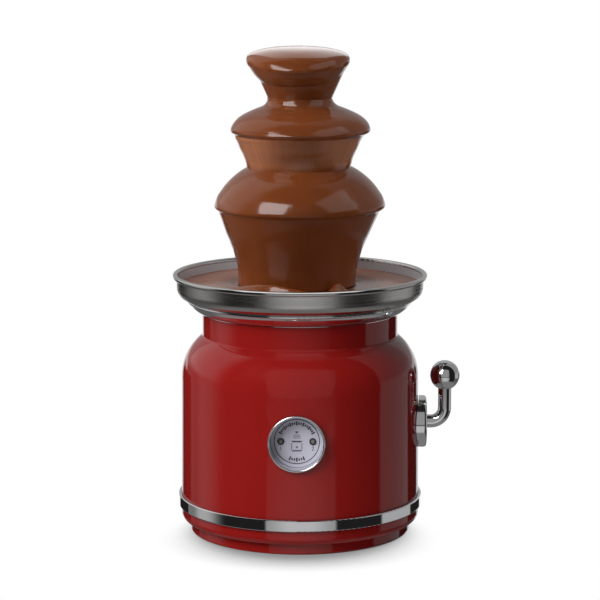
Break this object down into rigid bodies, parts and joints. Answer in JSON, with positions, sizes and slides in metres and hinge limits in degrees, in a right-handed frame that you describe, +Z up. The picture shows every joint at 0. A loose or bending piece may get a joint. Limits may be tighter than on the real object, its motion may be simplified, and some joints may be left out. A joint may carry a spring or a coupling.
{
  "type": "chocolate fountain",
  "caption": "Table-top chocolate fountain: round glossy housing with a chrome band, heated steel bowl, tiered tower with flowing chocolate, driven auger, side lever and round dial.",
  "frame": {"origin": "on the upright axis at table height, the plane of the foot ring's underside", "axes": "+Z up along the tower, -Y to the front with the dial, +X to the right with the lever"},
  "size_m": [0.2274, 0.2012, 0.3856],
  "materials": {
    "red_paint": "high gloss enamel",
    "chrome": "polished",
    "bowl_steel": "brushed round the axis, polished rim",
    "steel": "plain",
    "plated_steel": "zinc plated",
    "bronze": "sintered",
    "rubber": "matt",
    "black_plastic": "fine texture",
    "dial_face": "satin, printed scale",
    "lamp_lens": "smoked lens",
    "pale_plastic": "plain",
    "tower_plastic": "food-safe plastic",
    "chocolate": "wet gloss"
  },
  "bodies": {
    "base": {"plinth": "red_paint", "outer_shell": "red_paint", "trim_band": "chrome", "neck_collar": "chrome", "lever_escutcheon": "chrome", "gauge_bezel": "chrome", "bowl": "bowl_steel", "heater_clamp": "steel", "clamp_nuts": "steel", "motor_can": "steel", "switch_nut": "steel", "cover_screws": "plated_steel", "clamp_screws": "plated_steel", "chassis_pan": "plated_steel", "heater_ring": "plated_steel", "gearbox_case": "plated_steel", "motor_screws": "plated_steel", "bearing_bush": "bronze", "foot_ring": "rubber", "shaft_seal": "rubber", "cord_grommet": "rubber", "bottom_cover": "black_plastic", "rotary_switch": "black_plastic", "lamp_housing": "black_plastic", "thermostat": "black_plastic", "dial_plate": "dial_face", "heat_lamp": "lamp_lens", "flow_lamp": "lamp_lens", "terminal_block": "pale_plastic", "thermal_fuse": "pale_plastic", "chocolate_pool": "chocolate"},
    "drive": {"drive_shaft": "steel", "drive_pin": "plated_steel", "auger_core": "tower_plastic", "auger_flight": "tower_plastic"},
    "tower": {"tower_tube": "tower_plastic", "crown_cup": "tower_plastic", "middle_tier": "tower_plastic", "lower_tier": "tower_plastic", "crown_chocolate": "chocolate", "middle_chocolate": "chocolate", "lower_chocolate": "chocolate"},
    "lever": {"lever_spindle": "steel", "lever_arm": "chrome", "lever_ball": "chrome"}
  },
  "joints": [
    {"name": "auger_spin", "type": "hinge", "parent": "base", "child": "drive", "pos_m": [0, 0, 0.19], "axis": [0, 0, 1], "continuous": true},
    {"name": "tower_lift", "type": "slide", "parent": "base", "child": "tower", "axis": [0, 0, 1], "range_m": [0, 0.2]},
    {"name": "lever_turn", "type": "hinge", "parent": "base", "child": "lever", "pos_m": [0.1008, 0, 0.088], "axis": [1, 0, 0], "range_deg": [0, 90]}
  ]
}
